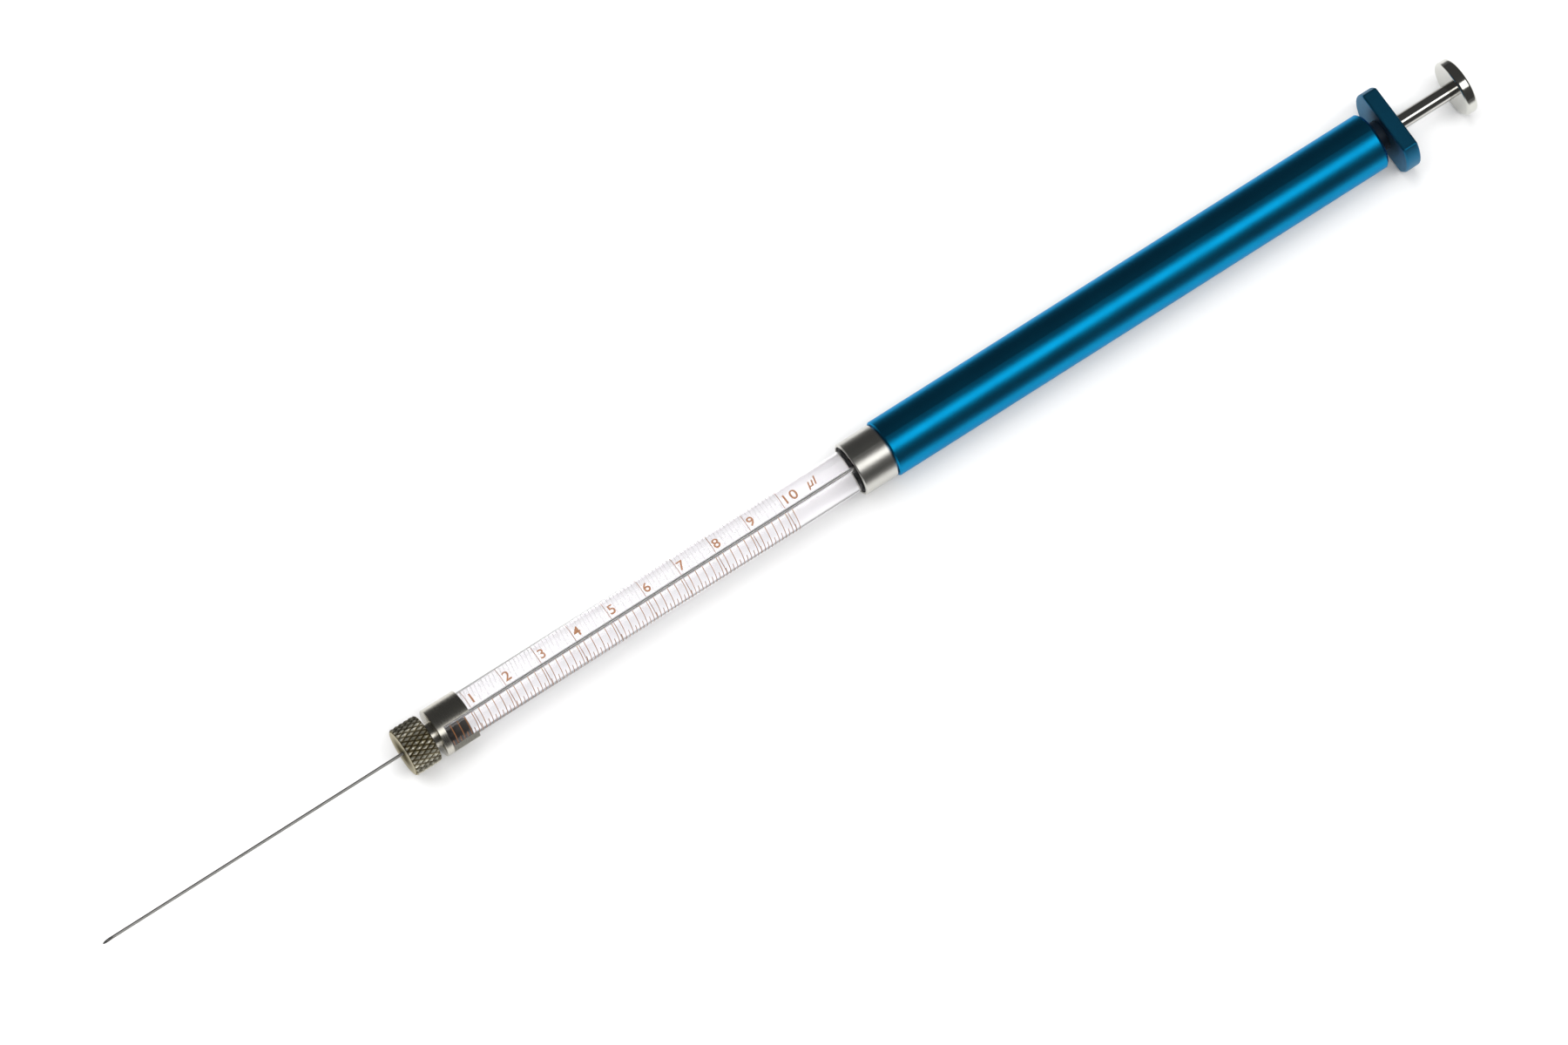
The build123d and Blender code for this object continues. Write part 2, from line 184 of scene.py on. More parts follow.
def add_group(name, inputs, outputs):
    """An empty shader node group with its sockets; inputs are (name, default)."""
    group = bpy.data.node_groups.new(name, "ShaderNodeTree")
    for label, value in inputs:
        socket = group.interface.new_socket(label, in_out="INPUT", socket_type="NodeSocketFloat")
        socket.default_value = value
    for label in outputs:
        group.interface.new_socket(label, in_out="OUTPUT", socket_type="NodeSocketFloat")
    return group, group.nodes.new("NodeGroupInput"), group.nodes.new("NodeGroupOutput")


def add_math(tree, operation, first, second):
    """A Math node; each operand is a socket or a number."""
    node = tree.nodes.new("ShaderNodeMath")
    node.operation = operation
    for operand, socket in zip((first, second), node.inputs):
        if isinstance(operand, (int, float)):
            socket.default_value = operand
        else:
            tree.links.new(operand, socket)
    return node.outputs["Value"]


# Machined finish: fine lines left by drawing or turning, stretched along or round the axis,
# and cloudy handling marks. It puts out a height in 0..1 and a roughness to add.
machined, taken, given = add_group(
    "machined_finish",
    [("Lines Along", 4000), ("Lines Across", 40000), ("Cloud Scale", 350), ("Roughness", 0.2),
     ("Roughness Spread", 0.1)],
    ["Height", "Roughness"],
)
where = machined.nodes.new("ShaderNodeTexCoord")
split = machined.nodes.new("ShaderNodeSeparateXYZ")
stretched = machined.nodes.new("ShaderNodeCombineXYZ")
lines = machined.nodes.new("ShaderNodeTexNoise")
lines.inputs["Scale"].default_value = 1
lines.inputs["Detail"].default_value = 3
clouds = machined.nodes.new("ShaderNodeTexNoise")
clouds.inputs["Detail"].default_value = 4
machined.links.new(where.outputs["Object"], split.inputs[0])
machined.links.new(
    add_math(machined, "MULTIPLY", split.outputs["X"], taken.outputs["Lines Along"]),
    stretched.inputs["X"],
)
for side in ("Y", "Z"):
    machined.links.new(
        add_math(machined, "MULTIPLY", split.outputs[side], taken.outputs["Lines Across"]),
        stretched.inputs[side],
    )
machined.links.new(stretched.outputs[0], lines.inputs["Vector"])
machined.links.new(where.outputs["Object"], clouds.inputs["Vector"])
machined.links.new(taken.outputs["Cloud Scale"], clouds.inputs["Scale"])
machined.links.new(lines.outputs["Fac"], given.inputs["Height"])
mottle = add_math(machined, "ADD", lines.outputs["Fac"], clouds.outputs["Fac"])
spread = add_math(machined, "MULTIPLY", add_math(machined, "SUBTRACT", mottle, 1.0),
                  taken.outputs["Roughness Spread"])
machined.links.new(
    add_math(machined, "ADD", taken.outputs["Roughness"], spread), given.inputs["Roughness"]
)


def machined_metal(name, colour, along, across, depth, roughness, spread, cloud=350):
    """Metal with the machined finish; depth is the lines' relief in metres."""
    material, tree, shader = new_material(name, colour, 1.0, roughness)
    finish = tree.nodes.new("ShaderNodeGroup")
    finish.name = "finish"
    finish.node_tree = machined
    for label, value in (("Lines Along", along), ("Lines Across", across),
                         ("Cloud Scale", cloud), ("Roughness", roughness),
                         ("Roughness Spread", spread)):
        finish.inputs[label].default_value = value
    relief = tree.nodes.new("ShaderNodeBump")
    relief.inputs["Distance"].default_value = depth
    tree.links.new(finish.outputs["Height"], relief.inputs["Height"])
    tree.links.new(relief.outputs["Normal"], shader.inputs["Normal"])
    tree.links.new(finish.outputs["Roughness"], shader.inputs["Roughness"])
    return material


def shader_of(material):
    """The Principled shader of a finished material, for its last constant values."""
    return material.node_tree.nodes["Principled BSDF"]


def dress(node, material):
    """A CAD node keeps its shape and takes a material in every slot."""
    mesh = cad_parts[node].data
    for index in range(len(mesh.materials)):
        mesh.materials[index] = material


drawn_steel = machined_metal(
    "drawn_stainless", (0.56, 0.55, 0.53),
    along=300, across=40000, depth=2e-7, roughness=0.48, spread=0.12)
dress("needle_cannula", drawn_steel)
turned_brass = machined_metal(
    "turned_brass", (0.72, 0.55, 0.26),
    along=30000, across=600, depth=1.5e-6, roughness=0.25, spread=0.1)
dress("needle_hub", turned_brass)

# ---- Knurled nut: nickel-plated brass. Its colour follows the depth below the crests: painted shade darkens
# the valleys, and the crests and end faces are painted cream as a highlight.
# The end faces are a little smoother, with a painted reflection of shade: brown and dark near the
# needle, fading outwards.
knurl_top = 0.00378
knurl_bottom = 0.00352
reflected_shade_inner = 0.0008
reflected_shade_outer = 0.0034
reflected_shade_depth = 0.16
end_polish = 0.06
knurled = machined_metal(
    "knurled_nickel", (0.62, 0.58, 0.46),
    along=30000, across=800, depth=1e-6, roughness=0.42, spread=0.15)
tree = knurled.node_tree
shader = shader_of(knurled)
finish = tree.nodes["finish"]
shader.inputs["Specular Tint"].default_value = (0.34, 0.3, 0.22, 1)
where = tree.nodes.new("ShaderNodeTexCoord")
centred = tree.nodes.new("ShaderNodeMapping")
centred.inputs["Location"].default_value = (0, 0, -axis_z)
flattened = tree.nodes.new("ShaderNodeVectorMath")
flattened.operation = "MULTIPLY"
flattened.inputs[1].default_value = (0, 1, 1)
radius = tree.nodes.new("ShaderNodeVectorMath")
radius.operation = "LENGTH"
facing = tree.nodes.new("ShaderNodeSeparateXYZ")
tree.links.new(where.outputs["Object"], centred.inputs["Vector"])
tree.links.new(centred.outputs[0], flattened.inputs[0])
tree.links.new(flattened.outputs[0], radius.inputs[0])
tree.links.new(where.outputs["Normal"], facing.inputs[0])


def add_range(tree, value, low, high, bottom=0.0, top=1.0):
    """A smooth 0..1 mask, or bottom..top, as a value runs from low to high."""
    node = tree.nodes.new("ShaderNodeMapRange")
    node.interpolation_type = "SMOOTHSTEP"
    for label, number in (("From Min", low), ("From Max", high), ("To Min", bottom),
                          ("To Max", top)):
        node.inputs[label].default_value = number
    tree.links.new(value, node.inputs["Value"])
    return node.outputs["Result"]


def add_ramp(tree, value, stops):
    """A colour ramp; stops are (position, colour)."""
    node = tree.nodes.new("ShaderNodeValToRGB")
    elements = node.color_ramp.elements
    while len(elements) < len(stops):
        elements.new(0.5)
    for element, (position, colour) in zip(elements, stops):
        element.position = position
        element.color = (*colour, 1)
    tree.links.new(value, node.inputs["Fac"])
    return node.outputs["Color"]


# painted shade and highlight: the colour runs from near black in the knurl's valleys to cream on
# its crests and end faces
crests = add_range(tree, radius.outputs["Value"], knurl_bottom, knurl_top)
ends = add_range(tree, add_math(tree, "ABSOLUTE", facing.outputs["X"], 0), 0.8, 0.95)
depth_shade_and_highlight = add_ramp(tree, add_math(tree, "MAXIMUM", crests, ends), (
    (0.0, (0.15, 0.12, 0.065)),
    (0.3, (0.40, 0.36, 0.25)),
    (0.65, (0.80, 0.76, 0.62)),
    (1.0, (0.90, 0.87, 0.74)),
))
# painted reflection of shade: the nut's colour is scaled down near the needle and comes back to
# full towards the knurl
reflected_shade = tree.nodes.new("ShaderNodeVectorMath")
reflected_shade.operation = "SCALE"
tree.links.new(depth_shade_and_highlight, reflected_shade.inputs[0])
tree.links.new(
    add_range(tree, radius.outputs["Value"], reflected_shade_inner, reflected_shade_outer, bottom=reflected_shade_depth),
    reflected_shade.inputs["Scale"],
)
tree.links.new(reflected_shade.outputs[0], shader.inputs["Base Color"])
smoother = add_math(tree, "MULTIPLY", ends, end_polish)
tree.links.new(
    add_math(tree, "SUBTRACT", finish.outputs["Roughness"], smoother), shader.inputs["Roughness"]
)
dress("needle_nut", knurled)

# ---- Front ferrule: nickel-plated turned sleeve with a stub for the nut, cemented on the glass.
# Its quarter window was milled out before plating, with a sloping lower lip.
ferrule_radius = 0.003825
ferrule_bore = 0.00332
stub_radius = 0.002
stub_bore = 0.001
ferrule_ease = 0.00012
stub_front = station(52.9)
ferrule_front = station(56.1)
ferrule_floor = station(56.9)
ferrule_rear = station(61.6)
sharp_edge = math.radians(35)
turned_steps = 128
window_front = 57.2
window_rear = 62.5
window_top = math.radians(15)
lip_inner = math.radians(82)
lip_outer = math.radians(96)


def skin(name, rings, material, capped=False):
    """A closed surface over rings of as many points each: the last ring joins the first,
    or both are capped."""
    count = len(rings[0])
    vertices = [point for ring in rings for point in ring]
    faces = []
    if capped:
        faces = [tuple(range(count)), tuple(range(len(vertices) - count, len(vertices)))]
    for here in range(len(rings) - capped):
        there = (here + 1) % len(rings)
        for index in range(count):
            follow = (index + 1) % count
            faces.append((here * count + index, here * count + follow,
                          there * count + follow, there * count + index))
    piece = new_piece(name, vertices, faces, material)
    shape = bmesh.new()
    shape.from_mesh(piece.data)
    bmesh.ops.remove_doubles(shape, verts=shape.verts, dist=1e-9)
    bmesh.ops.recalc_face_normals(shape, faces=shape.faces)
    shape.to_mesh(piece.data)
    shape.free()
    piece.data.shade_smooth()
    piece.data.set_sharp_from_angle(angle=sharp_edge)
    return piece


def lathe(name, profile, segments, material):
    """A closed solid turned round the syringe's axis from a closed profile of (x, radius)."""
    rings = []
    for x, r in profile:
        angles = [2 * math.pi * step / segments for step in range(segments)]
        rings.append([(x, r * math.cos(a), axis_z + r * math.sin(a)) for a in angles])
    return skin(name, rings, material)


def rounded(corner, before, after, radius, steps=5):
    """Points of a fillet at a corner between the directions to two neighbouring corners."""
    corner, before, after = Vector(corner), Vector(before), Vector(after)
    to_before = (before - corner).normalized()
    to_after = (after - corner).normalized()
    half = to_before.angle(to_after) / 2
    reach = radius / math.tan(half)
    centre = corner + (to_before + to_after).normalized() * radius / math.sin(half)
    start = (corner + to_before * reach - centre).normalized()
    end = (corner + to_after * reach - centre).normalized()
    spokes = [start.slerp(end, step / steps) for step in range(steps + 1)]
    return [tuple(centre + spoke.normalized() * radius) for spoke in spokes]


def rounded_profile(corners, radii):
    """A closed (x, radius) profile with each corner filleted; radius 0 keeps it sharp."""
    points = []
    for index, (corner, radius) in enumerate(zip(corners, radii)):
        before, after = corners[index - 1], corners[(index + 1) % len(corners)]
        points += rounded(corner, before, after, radius) if radius else [corner]
    return points


dark_nickel = machined_metal(
    "dark_nickel", (0.55, 0.53, 0.47),
    along=28000, across=500, depth=1.2e-6, roughness=0.27, spread=0.1)
ferrule = lathe(
    "ferrule_sleeve",
    rounded_profile(
        [(stub_front, stub_bore), (stub_front, stub_radius), (ferrule_front, stub_radius),
         (ferrule_front, ferrule_radius), (ferrule_rear, ferrule_radius),
         (ferrule_rear, ferrule_bore), (ferrule_floor, ferrule_bore),
         (ferrule_floor, stub_bore)],
        [0, ferrule_ease, 0, ferrule_ease, ferrule_ease / 2, 0, 0, 0],
    ),
    turned_steps,
    dark_nickel,
)


def spoke(angle, radius):
    """(y, z) of a place at an angle from straight up towards -Y."""
    return -radius * math.sin(angle), axis_z + radius * math.cos(angle)


lip = Vector(spoke(lip_inner, ferrule_bore))
slope = (Vector(spoke(lip_outer, ferrule_radius)) - lip).normalized()
window = [(0, axis_z), spoke(window_top, 0.005), spoke(math.radians(60), 0.007),
          tuple(lip + slope * 0.0025), tuple(lip - slope * 0.0005)]
cutter = skin(
    "window_cutter",
    [[(station(x), y, z) for y, z in window] for x in (window_front, window_rear)],
    dark_nickel,
    capped=True,
)
milling = ferrule.modifiers.new("milling", "BOOLEAN")
milling.object = cutter
graph = bpy.context.evaluated_depsgraph_get()
milled = bpy.data.meshes.new_from_object(ferrule.evaluated_get(graph))
ferrule.modifiers.clear()
turned, ferrule.data = ferrule.data, milled
bpy.data.meshes.remove(turned)
bpy.data.objects.remove(cutter)
milled.shade_smooth()
milled.set_sharp_from_angle(angle=sharp_edge)
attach(ferrule, "barrel")
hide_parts("front_ferrule")

# Fine grain of moulded and rubbed parts: a height in 0..1.
fine_grain, taken, given = add_group("fine_grain", [("Scale", 9000)], ["Height"])
where = fine_grain.nodes.new("ShaderNodeTexCoord")
grain = fine_grain.nodes.new("ShaderNodeTexNoise")
fine_grain.links.new(where.outputs["Object"], grain.inputs["Vector"])
fine_grain.links.new(taken.outputs["Scale"], grain.inputs["Scale"])
fine_grain.links.new(grain.outputs["Fac"], given.inputs["Height"])


def grained(name, colour, roughness, scale, depth):
    """Plastic, rubber or cement with a fine grain; depth is its relief in metres."""
    material, tree, shader = new_material(name, colour, 0, roughness)
    surface = tree.nodes.new("ShaderNodeGroup")
    surface.node_tree = fine_grain
    surface.inputs["Scale"].default_value = scale
    relief = tree.nodes.new("ShaderNodeBump")
    relief.inputs["Distance"].default_value = depth
    tree.links.new(surface.outputs["Height"], relief.inputs["Height"])
    tree.links.new(relief.outputs["Normal"], shader.inputs["Normal"])
    return material


seal_polymer = grained(
    "white_fluoropolymer", (0.86, 0.86, 0.83), roughness=0.5, scale=9000, depth=4e-6)
dress("needle_seal", seal_polymer)

# ---- Glass barrel: clear borosilicate capillary, thick walled, with a fine bore for the wire.
# Both ends are ground flat and their edges fire-polished. Drawn glass has faint streaks along it.
glass_front = station(56.9)
glass_rear = station(138.0)
glass_radius = 0.0033
bore_radius = 0.00023
polish_radius = 0.00012
clear_glass, tree, shader = new_material("clear_borosilicate", (0.935, 0.92, 0.94), 0, 0.02)
shader.inputs["Transmission Weight"].default_value = 1
shader.inputs["IOR"].default_value = 1.473
streaks = tree.nodes.new("ShaderNodeTexNoise")
streaks.inputs["Scale"].default_value = 1
stretch = tree.nodes.new("ShaderNodeMapping")
stretch.inputs["Scale"].default_value = (15, 2500, 2500)
where = tree.nodes.new("ShaderNodeTexCoord")
relief = tree.nodes.new("ShaderNodeBump")
relief.inputs["Distance"].default_value = 3e-7
tree.links.new(where.outputs["Object"], stretch.inputs["Vector"])
tree.links.new(stretch.outputs[0], streaks.inputs["Vector"])
tree.links.new(streaks.outputs["Fac"], relief.inputs["Height"])
tree.links.new(relief.outputs["Normal"], shader.inputs["Normal"])
glass = lathe(
    "glass_tube",
    rounded_profile(
        [(glass_front, bore_radius), (glass_front, glass_radius),
         (glass_rear, glass_radius), (glass_rear, bore_radius)],
        [bore_radius / 3, polish_radius, polish_radius, bore_radius / 3],
    ),
    turned_steps,
    clear_glass,
)
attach(glass, "barrel")
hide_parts("glass_barrel")

# ---- Cement: the dark film that holds the glass in the ferrule, all round but for the window,
# and in the collar. It wets the glass, so the glass looks dark there.
film_inner = glass_radius - 5e-6
film_outer = glass_radius + 1.5e-5
window_end = 172
film_sweep = 293
film_steps = 96
ferrule_seat = (station(56.92), station(61.58))
collar_seat = (station(129.05), station(137.9))
cement = grained(
    "dark_cement", (0.05, 0.045, 0.04), roughness=0.6, scale=6000, depth=3e-6)
sections = []
for step in range(film_steps + 1):
    angle = math.radians(window_end + film_sweep * step / film_steps)
    sections.append([
        (x, r * math.cos(angle), axis_z + r * math.sin(angle))
        for x, r in ((ferrule_seat[0], film_inner), (ferrule_seat[0], film_outer),
                     (ferrule_seat[1], film_outer), (ferrule_seat[1], film_inner))
    ])
ferrule_film = skin("ferrule_film", sections, cement, capped=True)
collar_film = lathe(
    "collar_film",
    [(collar_seat[0], film_inner), (collar_seat[0], film_outer),
     (collar_seat[1], film_outer), (collar_seat[1], film_inner)],
    film_steps,
    cement,
)
for film in (ferrule_film, collar_film):
    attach(film, "barrel")

# ---- Scale: red-brown ink fired on the glass. A short tick stands at every odd 0.1 microlitre, a
# long one at every 0.2, and each numbered tick runs on round the underside of the tube.
zero_mark = 57.0
tick_pitch = 0.6
ticks_in_ten = 10
tick_width = 0.12
ink_lift = 1e-5
ink_radius = glass_radius + ink_lift


def fired(name, dark, light, cover):
    """Fired ink: its pigment is patchy, and where it's thin the glass shows through it."""
    material, tree, shader = new_material(name, light, 0, 0.42)
    shader.inputs["Alpha"].default_value = cover
    patches = tree.nodes.new("ShaderNodeTexNoise")
    patches.inputs["Scale"].default_value = 5200
    where = tree.nodes.new("ShaderNodeTexCoord")
    tree.links.new(where.outputs["Object"], patches.inputs["Vector"])
    tree.links.new(
        add_ramp(tree, patches.outputs["Fac"], ((0.3, dark), (0.7, light))),
        shader.inputs["Base Color"],
    )
    return material


tick_ink = fired(
    "tick_ink", dark=(0.20, 0.10, 0.07), light=(0.32, 0.17, 0.12), cover=0.48)
numeral_slot = 1
numeral_ink = fired(
    "numeral_ink", dark=(0.25, 0.095, 0.03), light=(0.38, 0.16, 0.055), cover=0.92)


def graduation_tree():
    """Geometry Nodes: thin curved ticks, the same distance apart, on a tube along X."""
    tree = bpy.data.node_groups.new("graduations", "GeometryNodeTree")
    kinds = {"Count": "NodeSocketInt", "Ink": "NodeSocketMaterial"}
    sizes = ("First", "Spacing", "Count", "Width", "Top Angle", "Low Angle", "Radius",
             "Axis Height", "Ink")
    for label in sizes:
        kind = kinds.get(label, "NodeSocketFloat")
        tree.interface.new_socket(label, in_out="INPUT", socket_type=kind)
    tree.interface.new_socket("Ticks", in_out="OUTPUT", socket_type="NodeSocketGeometry")
    taken = tree.nodes.new("NodeGroupInput")
    given = tree.nodes.new("NodeGroupOutput")

    def node(kind, **links):
        made = tree.nodes.new(kind)
        for label, source in links.items():
            socket = made.inputs[label.replace("_", " ")]
            if isinstance(source, bpy.types.NodeSocket):
                tree.links.new(source, socket)
            else:
                socket.default_value = source
        return made

    def calc(operation, first, second=0.0):
        made = tree.nodes.new("ShaderNodeMath")
        made.operation = operation
        for source, socket in zip((first, second), made.inputs):
            if isinstance(source, bpy.types.NodeSocket):
                tree.links.new(source, socket)
            else:
                socket.default_value = source
        return made.outputs[0]

    # one flat tick: X is its width, Y runs 0..1 along it
    strip = node("GeometryNodeMeshGrid", Size_X=taken.outputs["Width"], Size_Y=1.0,
                 Vertices_X=2, Vertices_Y=33)
    spot = node("ShaderNodeSeparateXYZ", Vector=node("GeometryNodeInputPosition").outputs[0])
    share = calc("ADD", spot.outputs["Y"], 0.5)
    sweep = calc("SUBTRACT", taken.outputs["Low Angle"], taken.outputs["Top Angle"])
    angle = calc("ADD", taken.outputs["Top Angle"], calc("MULTIPLY", sweep, share))
    radius = taken.outputs["Radius"]
    height = calc("MULTIPLY", calc("COSINE", angle), radius)
    wrapped = node(
        "ShaderNodeCombineXYZ",
        X=spot.outputs["X"],
        Y=calc("MULTIPLY", calc("SINE", angle), calc("MULTIPLY", radius, -1.0)),
        Z=calc("ADD", taken.outputs["Axis Height"], height),
    )
    curved = node("GeometryNodeSetPosition", Geometry=strip.outputs["Mesh"],
                  Position=wrapped.outputs[0])
    start = node("ShaderNodeCombineXYZ", X=taken.outputs["First"])
    pitch = node("ShaderNodeCombineXYZ", X=taken.outputs["Spacing"])
    row = tree.nodes.new("GeometryNodeMeshLine")
    tree.links.new(taken.outputs["Count"], row.inputs["Count"])
    tree.links.new(start.outputs[0], row.inputs["Start Location"])
    tree.links.new(pitch.outputs[0], row.inputs["Offset"])
    placed = node("GeometryNodeInstanceOnPoints", Points=row.outputs["Mesh"],
                  Instance=curved.outputs["Geometry"])
    solid = node("GeometryNodeRealizeInstances", Geometry=placed.outputs["Instances"])
    inked = node("GeometryNodeSetMaterial", Geometry=solid.outputs["Geometry"],
                 Material=taken.outputs["Ink"])
    tree.links.new(inked.outputs["Geometry"], given.inputs["Ticks"])
    return tree


def grown(name, tree, values):
    """The plain mesh that a Geometry Nodes tree makes from its named inputs."""
    seed = bpy.data.meshes.new(name)
    piece = bpy.data.objects.new(name, seed)
    bpy.context.collection.objects.link(piece)
    modifier = piece.modifiers.new(name, "NODES")
    modifier.node_group = tree
    for item in tree.interface.items_tree:
        if item.in_out == "INPUT" and item.name in values:
            modifier[item.identifier] = values[item.name]
    graph = bpy.context.evaluated_depsgraph_get()
    mesh = bpy.data.meshes.new_from_object(piece.evaluated_get(graph))
    bpy.data.objects.remove(piece)
    return mesh


graduations = graduation_tree()
tick_rows = (
    # first tick, ticks to the next, how many, upper and lower end in degrees
    (1, 2, 50, 61, 115),
    (2, 2, 50, 21, 115),
    (10, 10, 10, 115, 215),
)
scale = bmesh.new()
for first, step, count, top, low in tick_rows:
    row = grown("tick_row", graduations, {
        "First": station(zero_mark + first * tick_pitch),
        "Spacing": step * tick_pitch / 1000,
        "Count": count,
        "Width": tick_width / 1000,
        "Top Angle": math.radians(top),
        "Low Angle": math.radians(low),
        "Radius": ink_radius,
        "Axis Height": axis_z,
        "Ink": tick_ink,
    })
    scale.from_mesh(row)
    bpy.data.meshes.remove(row)

# the numerals read with the needle on the left, wrapped on the upper side of the tube
numeral_height = 0.00162
numeral_middle = math.radians(-10)
numeral_cuts = 8
bold = 0.012
ten_places = (station(117.0), station(118.4))
unit_place = station(121.6)


def write(text, middle_x, middle_angle, height, width=1.0, slant=0.0):
    """Text printed on the glass, added to the scale's mesh."""
    curve = bpy.data.curves.new(text, "FONT")
    curve.body = text
    curve.size = 1.0
    curve.shear = slant
    curve.offset = bold
    lettering = bpy.data.objects.new(text, curve)
    bpy.context.collection.objects.link(lettering)
    graph = bpy.context.evaluated_depsgraph_get()
    mesh = bpy.data.meshes.new_from_object(lettering.evaluated_get(graph))
    bpy.data.objects.remove(lettering)
    shape = bmesh.new()
    shape.from_mesh(mesh)
    bpy.data.meshes.remove(mesh)
    bmesh.ops.triangulate(shape, faces=shape.faces)
    xs = [v.co.x for v in shape.verts]
    ys = [v.co.y for v in shape.verts]
    middle = Vector(((min(xs) + max(xs)) / 2, (min(ys) + max(ys)) / 2, 0))
    grow = height / (max(ys) - min(ys))
    for cut in range(1, numeral_cuts):
        level = min(ys) + (max(ys) - min(ys)) * cut / numeral_cuts
        bmesh.ops.bisect_plane(
            shape, geom=shape.verts[:] + shape.edges[:] + shape.faces[:],
            plane_co=(0, level, 0), plane_no=(0, 1, 0))
    for vertex in shape.verts:
        flat = (vertex.co - middle) * grow
        angle = middle_angle - flat.y / glass_radius
        vertex.co = (
            middle_x + flat.x * width,
            -ink_radius * math.sin(angle),
            axis_z + ink_radius * math.cos(angle),
        )
    text_mesh = bpy.data.meshes.new(text)
    shape.to_mesh(text_mesh)
    shape.free()
    ticks_end = len(scale.faces)
    scale.from_mesh(text_mesh)
    bpy.data.meshes.remove(text_mesh)
    scale.faces.ensure_lookup_table()
    for face in scale.faces[ticks_end:]:
        face.material_index = numeral_slot


for number in range(1, 10):
    write(str(number), station(zero_mark + number * ticks_in_ten * tick_pitch),
          numeral_middle, numeral_height)
write("1", ten_places[0], numeral_middle, numeral_height)
write("0", ten_places[1], numeral_middle, numeral_height, width=1.1)
write("µl", unit_place, numeral_middle, numeral_height * 1.1, slant=0.25)
bmesh.ops.remove_doubles(scale, verts=scale.verts, dist=1e-7)
bmesh.ops.recalc_face_normals(scale, faces=scale.faces)
for face in scale.faces:
    middle = face.calc_center_median()
    if face.normal.dot(middle - Vector((middle.x, 0, axis_z))) < 0:
        face.normal_flip()
scale_mesh = bpy.data.meshes.new("printed_scale")
scale.to_mesh(scale_mesh)
scale.free()
scale_mesh.materials.append(tick_ink)
scale_mesh.materials.append(numeral_ink)
scale_mesh.shade_smooth()
printed_scale = bpy.data.objects.new("printed_scale", scale_mesh)
bpy.context.collection.objects.link(printed_scale)
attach(printed_scale, "barrel")
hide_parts("scale_marks")

# ---- Rear collar: nickel-plated sleeve, polished after turning, that holds the glass's rear end.
# A black rubber gasket closes its mouth and a white washer backs the glass inside.
polished_nickel = machined_metal(
    "polished_nickel", (0.62, 0.61, 0.57),
    along=22000, across=400, depth=8e-7, roughness=0.33, spread=0.1)
dress("rear_collar", polished_nickel)
black_rubber = grained(
    "black_rubber", (0.02, 0.02, 0.02), roughness=0.7, scale=14000, depth=8e-6)
dress("collar_gasket", black_rubber)
dress("glass_cushion", seal_polymer)

# ---- Guide body: a long aluminium tube, turned, satin finished and dyed blue when anodised.
# The collar is pressed in its front and the bush for the plunger rod in its rear.
def anodised(name, thin, thick, along, across, roughness, haze):
    """Aluminium dyed blue, a little unevenly; the sealed film on it is slightly cloudy."""
    material = machined_metal(
        name, thick, along, across, depth=1e-6, roughness=roughness, spread=0.08, cloud=120)
    tree = material.node_tree
    shader = shader_of(material)
    shader.inputs["Specular Tint"].default_value = (0.55, 0.8, 1.0, 1)
    shader.inputs["Coat Weight"].default_value = haze
    shader.inputs["Coat Roughness"].default_value = 0.9
    dye = tree.nodes.new("ShaderNodeTexNoise")
    dye.inputs["Scale"].default_value = 160
    where = tree.nodes.new("ShaderNodeTexCoord")
    tree.links.new(where.outputs["Object"], dye.inputs["Vector"])
    tree.links.new(
        add_ramp(tree, dye.outputs["Fac"], ((0.35, thick), (0.65, thin))),
        shader.inputs["Base Color"],
    )
    return material


blue_anodised = anodised(
    "blue_anodised", thin=(0.001, 0.262, 0.515), thick=(0.001, 0.232, 0.465),
    along=16000, across=250, roughness=0.36, haze=0.25)
dress("guide_body", blue_anodised)

# ---- Rear bush: turned black acetal, pressed in the body's rear, with a rubber ring in its
# groove that steadies the plunger rod and a neck for the finger flange.
black_acetal = grained(
    "black_acetal", (0.004, 0.008, 0.014), roughness=0.5, scale=12000, depth=2e-6)
shader_of(black_acetal).inputs["Specular IOR Level"].default_value = 0.2
dress("rod_bush", black_acetal)
dress("rod_ring", black_rubber)

# ---- Finger flange: a blue anodised disc with two flats for the fingers, pressed on the neck.
# All its edges were rounded in a tumbler before it was dyed.
flange_front = station(221.6)
flange_rear = station(224.1)
flange_radius = 0.0066
flange_flat = 0.00403
flange_bore = 0.00235
flange_ease = 0.00032
corner_ease = 0.0003
arc_steps = 24
guard = 0.00003


def flange_outline(inset):
    """(y, z) points round the flange, drawn in by inset: two arcs and two flats."""
    radius, flat = flange_radius - inset, flange_flat - inset
    corner = math.asin(flat / radius)
    spare = corner_ease / radius
    arc = [corner - spare - 2 * (corner - spare) * step / arc_steps
           for step in range(arc_steps + 1)]
    right = [(radius * math.cos(a), -radius * math.sin(a)) for a in arc]
    far = (radius * math.cos(corner), flat)
    ease = rounded(far, right[-1], (0, flat), corner_ease, steps=4)
    start = [(y, -z) for y, z in reversed(ease)]
    end_guard = [(ease[-1][0] - guard, flat)]
    start_guard = [(ease[-1][0] - guard, -flat)]
    half = start_guard + start + right[1:-1] + ease + end_guard
    return half + [(-y, -z) for y, z in half]


def flange_ring(x, outline):
    """An outline as a ring of points at one X."""
    return [(x, y, axis_z + z) for y, z in outline]


def flange_hole(x):
    """A ring of as many points round the bore."""
    spots = [Vector(spot).normalized() * flange_bore for spot in flange_outline(0)]
    return flange_ring(x, spots)


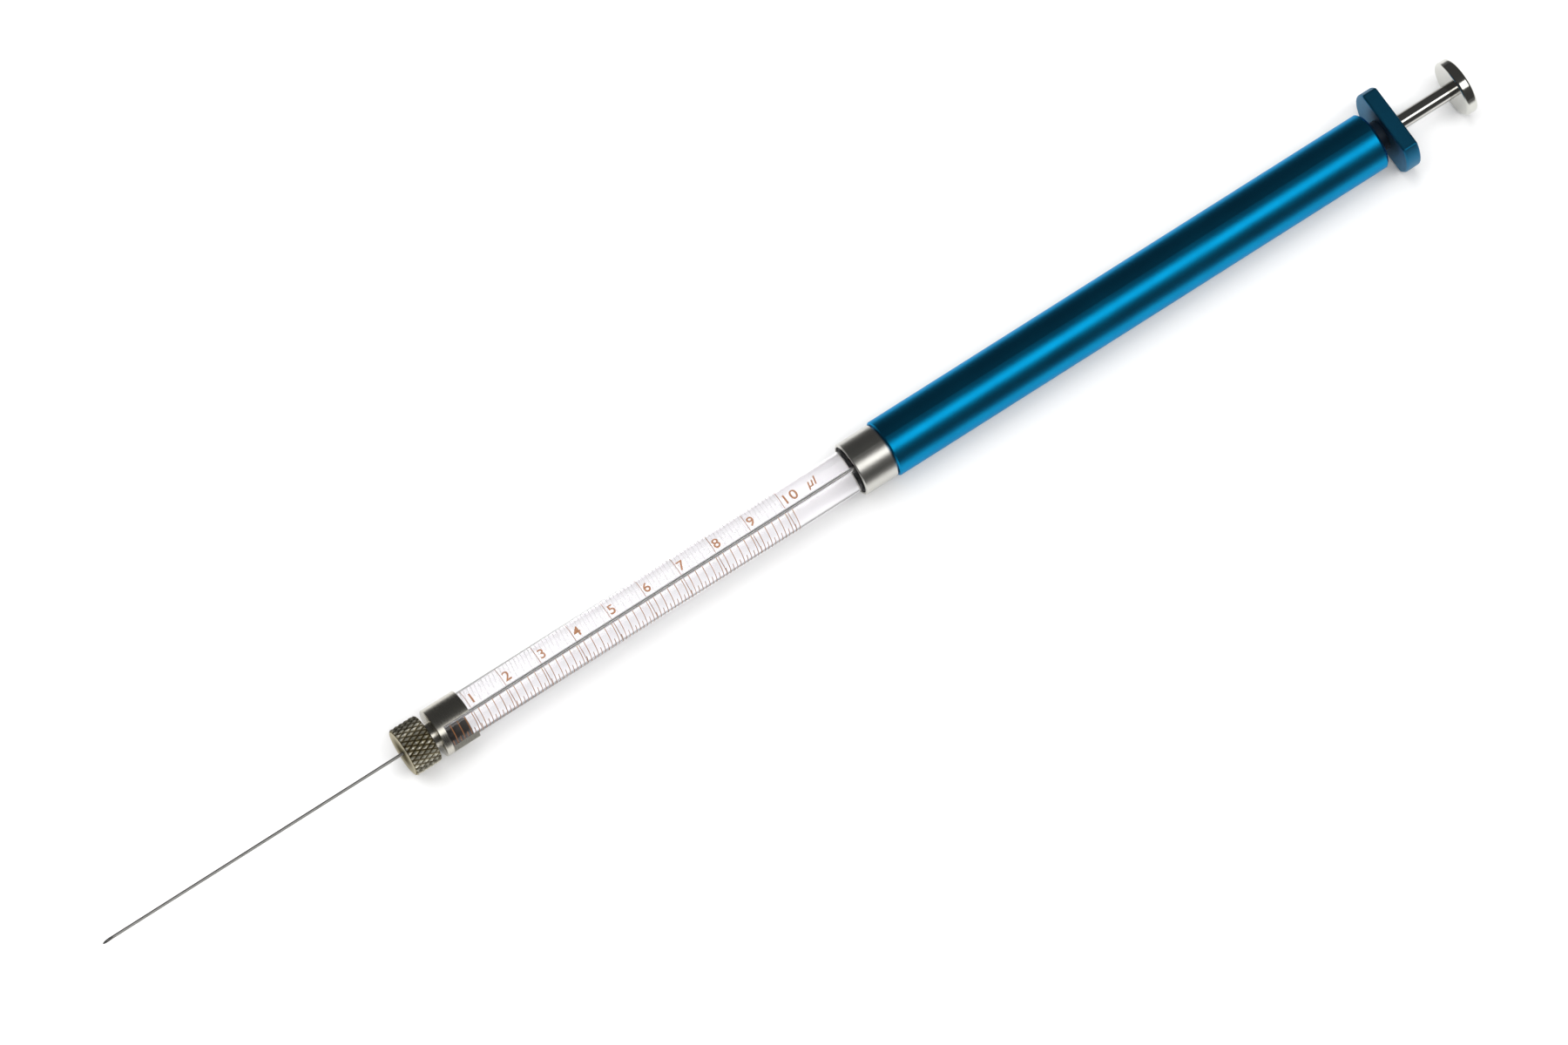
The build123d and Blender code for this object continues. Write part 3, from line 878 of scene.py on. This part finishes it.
rounding = [math.radians(degrees) for degrees in (90, 67.5, 45, 22.5, 0)]
eased = [(flange_ease * (1 - math.sin(a)), flange_ease * (1 - math.cos(a))) for a in rounding]
levels = [(0, flange_ease + guard)] + eased + [(flange_ease + guard, 0)]
rings = [flange_hole(flange_front)]
rings += [flange_ring(flange_front + depth, flange_outline(inset)) for depth, inset in levels]
rings += [flange_ring(flange_rear - depth, flange_outline(inset))
          for depth, inset in reversed(levels)]
rings.append(flange_hole(flange_rear))
tumbled_blue = anodised(
    "tumbled_blue", thin=(0.002, 0.18, 0.35), thick=(0.002, 0.165, 0.32),
    along=3000, across=3000, roughness=0.5, haze=0.6)
shader_of(tumbled_blue).inputs["Specular Tint"].default_value = (1, 0.95, 0.9, 1)
flange_disc = skin("flange_disc", rings, tumbled_blue)
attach(flange_disc, "barrel")
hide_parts("finger_flange")

# ---- Plunger: a ground wire clamped in a turned chuck by a grub screw, a white slider held by a
# spring clip, and a polished stainless rod that runs out through the bush.
ground_wire = machined_metal(
    "ground_stainless", (0.16, 0.16, 0.15),
    along=20000, across=1500, depth=4e-7, roughness=0.5, spread=0.1)
for node in ("plunger_wire", "chuck_screw", "slider_clip"):
    dress(node, ground_wire)
dress("wire_chuck", turned_brass)
dress("guide_slider", seal_polymer)
polished_rod = machined_metal(
    "polished_stainless", (0.64, 0.63, 0.60),
    along=26000, across=600, depth=4e-7, roughness=0.1, spread=0.08)
shader_of(polished_rod).inputs["Specular Tint"].default_value = (0.3, 0.3, 0.3, 1)
dress("plunger_rod", polished_rod)

# ---- Button: a turned thumb disc, nickel plated and polished, with a blind socket that is
# pressed on the rod's end. Its rim is well rounded, to be easy on the thumb.
button_front = station(234.05)
button_rear = station(235.85)
button_radius = 0.00445
button_ease = 0.00045
rod_radius = 0.001175
socket_end = button_front + 0.0011
button_steps = 96
button_nickel = machined_metal(
    "button_nickel", (0.60, 0.60, 0.56),
    along=30000, across=500, depth=8e-7, roughness=0.14, spread=0.08)
thumb_disc = lathe(
    "thumb_disc",
    rounded_profile(
        [(socket_end, 0), (socket_end, rod_radius), (button_front, rod_radius),
         (button_front, button_radius - button_ease - guard), (button_front, button_radius),
         (button_front + button_ease + guard, button_radius),
         (button_rear - button_ease - guard, button_radius), (button_rear, button_radius),
         (button_rear, button_radius - button_ease - guard), (button_rear, 0)],
        [0, 0, 0, 0, button_ease, 0, 0, button_ease, 0, 0],
    ),
    button_steps,
    button_nickel,
)
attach(thumb_disc, "plunger")
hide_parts("plunger_button")
